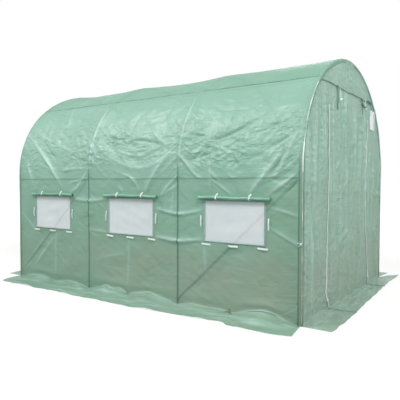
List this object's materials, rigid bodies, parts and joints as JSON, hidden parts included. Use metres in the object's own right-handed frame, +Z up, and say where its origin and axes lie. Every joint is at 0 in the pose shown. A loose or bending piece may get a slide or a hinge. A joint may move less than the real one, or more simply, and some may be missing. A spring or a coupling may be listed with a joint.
{
  "type": "polytunnel greenhouse",
  "caption": "Walk-in polytunnel with a hooped steel frame, a green woven film cover, rolled-up netted side windows, ground skirts and a zipped door in the front gable.",
  "frame": {"origin": "on the ground, in the middle of the tunnel's footprint", "axes": "+Z up, -Y towards the zipped door gable, X across the tunnel"},
  "size_m": [2.5736, 3.4336, 1.9509],
  "materials": {
    "tube": "galvanised",
    "sleeve": "galvanised",
    "film_wall": "glossy woven film",
    "film_roof": "glossy woven film",
    "film_skirt": "glossy woven film",
    "net": "fine mesh",
    "white_tape": "woven tape",
    "zip": "coil zip",
    "strap": "webbing",
    "toggle": "moulded"
  },
  "bodies": {
    "root": {"base_tees": "sleeve", "left_legs": "tube", "right_legs": "tube", "side_sleeves": "sleeve", "left_bends": "tube", "right_bends": "tube", "shoulder_sleeves": "sleeve", "crown_bars": "tube", "left_base_rails": "tube", "right_base_rails": "tube", "left_side_rails": "tube", "right_side_rails": "tube", "left_shoulder_rails": "tube", "right_shoulder_rails": "tube", "left_braces": "tube", "right_braces": "tube", "front_lintel": "tube", "rear_lintel": "tube", "door_posts": "tube", "left_wall_sheet": "film_wall", "right_wall_sheet": "film_wall", "left_shoulder_sheet": "film_wall", "right_shoulder_sheet": "film_wall", "crown_sheet": "film_roof", "front_left_panel": "film_wall", "front_right_panel": "film_wall", "front_top_panel": "film_wall", "door_panel": "film_wall", "rear_gable_sheet": "film_wall", "left_skirt": "film_skirt", "right_skirt": "film_skirt", "rear_skirt": "film_skirt", "front_skirts": "film_skirt", "door_skirt": "film_skirt", "left_window_nets": "net", "right_window_nets": "net", "left_window_rolls": "film_skirt", "right_window_rolls": "film_skirt", "roll_ties": "white_tape", "window_tabs": "white_tape", "door_zips": "zip", "door_straps": "strap", "door_toggles": "toggle", "cover_ties": "strap"}
  },
  "joints": []
}
